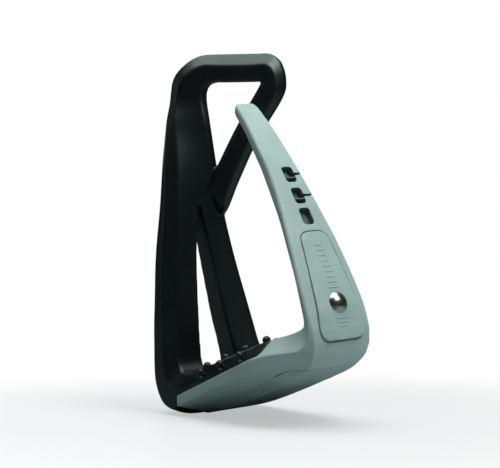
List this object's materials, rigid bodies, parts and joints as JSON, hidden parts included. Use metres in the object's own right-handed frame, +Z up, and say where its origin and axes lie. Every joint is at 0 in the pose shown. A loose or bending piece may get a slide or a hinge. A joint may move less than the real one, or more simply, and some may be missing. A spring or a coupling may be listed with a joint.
{
  "type": "stirrup iron",
  "caption": "Safety stirrup for the right foot: black A-shaped frame with leather eye and studded tread, grey elastomer sole, and an outer arm that springs open to free a caught boot",
  "frame": {"origin": "middle of the underside of the leather bar, where the stirrup hangs", "axes": "+Z up, square to the leather bar; +X away from the horse; +Y forwards towards the toe of the boot"},
  "size_m": [0.1362, 0.0738, 0.2081],
  "materials": {
    "black_plastic": "fine moulded grain, satin",
    "core_steel": "bare pressed steel, sealed inside",
    "pad_rubber": "matt, cross grooves",
    "stud_rubber": "satin black balls",
    "zinc_steel": "zinc plated",
    "grey_elastomer": "soft satin, fine grain",
    "grey_panel": "satin",
    "insert_brass": "turned",
    "spring_steel": "ground spring steel",
    "plate_plastic": "satin with fine vertical grain",
    "polished_steel": "mirror polished dome"
  },
  "bodies": {
    "frame": {"frame_overmould": "black_plastic", "branch_core": "core_steel", "tread_core": "core_steel", "eye_core": "core_steel", "grip_pad": "pad_rubber", "tread_studs": "stud_rubber", "edge_studs": "stud_rubber", "stud_collars": "zinc_steel", "elastomer_sole": "grey_elastomer", "sole_panel": "grey_panel", "panel_clips": "grey_panel", "blade_screws": "zinc_steel", "threaded_inserts": "insert_brass", "clamp_bar": "zinc_steel", "spring_blade_base": "spring_steel", "cover_plate": "plate_plastic", "rivet_cap": "polished_steel", "rivet_sleeve": "zinc_steel", "rivet_washer": "zinc_steel", "locating_pins": "zinc_steel"},
    "arm": {"elastomer_arm": "grey_elastomer", "spring_blade_tip": "spring_steel"}
  },
  "joints": [
    {"name": "arm_release", "type": "hinge", "parent": "frame", "child": "arm", "pos_m": [0.06329, -0.01117, -0.06407], "axis": [-0.0233, 0.9976, 0.0658], "range_deg": [0, 35], "stiffness_Nm_per_rad": 2.5}
  ]
}
